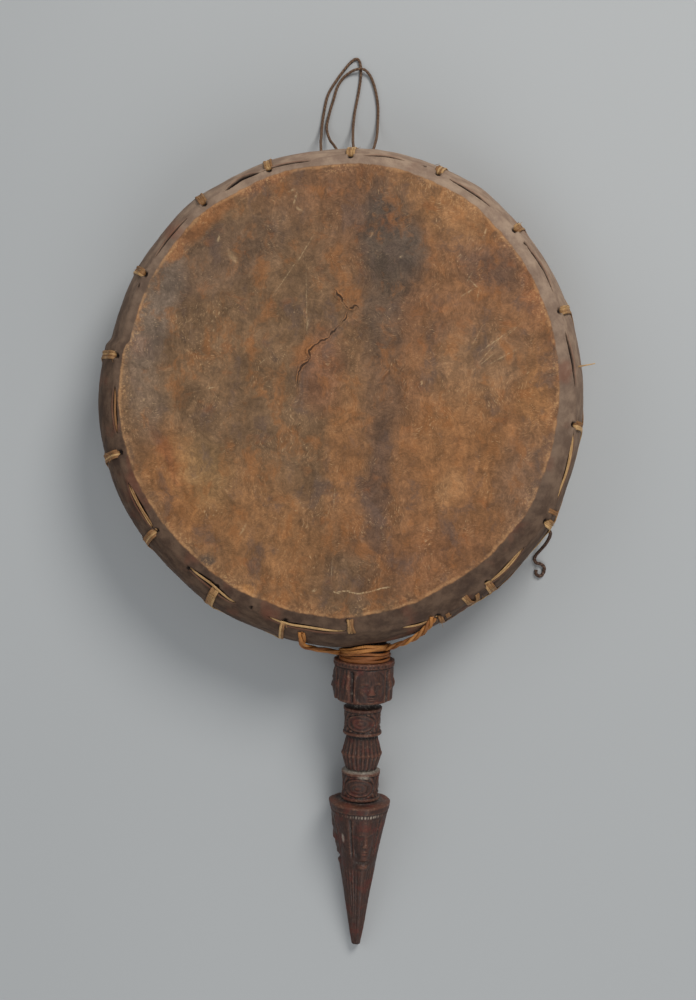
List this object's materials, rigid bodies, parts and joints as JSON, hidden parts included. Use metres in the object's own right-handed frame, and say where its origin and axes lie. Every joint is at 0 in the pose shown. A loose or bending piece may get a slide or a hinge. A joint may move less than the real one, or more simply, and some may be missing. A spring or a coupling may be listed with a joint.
{
  "type": "ceremonial ritual drum",
  "caption": "Two-headed hide frame drum laced with cane, held by a carved dagger-shaped wooden handle, with cord loops to hang it by.",
  "frame": {"origin": "middle of the back head's underside, on the surface that the drum lies on", "axes": "+Z out of the front head, +Y towards the hanging loops, -Y along the handle"},
  "size_m": [0.4338, 0.8124, 0.088],
  "materials": {
    "worn_hide": "worn, mottled",
    "plain_hide": "matt",
    "hoop_wood": "dull, bare",
    "cane": "split cane, dull",
    "carved_wood": "hand-polished, dark",
    "dark_cord": "twisted cord"
  },
  "bodies": {
    "root": {"hoop": "hoop_wood", "front_head": "worn_hide", "back_head": "plain_hide", "front_cane_ring": "cane", "back_cane_ring": "cane", "lacing": "cane", "handle": "carved_wood", "handle_lashing": "cane", "hanging_loop_left": "dark_cord", "hanging_loop_right": "dark_cord", "tail_cord": "dark_cord"}
  },
  "joints": []
}
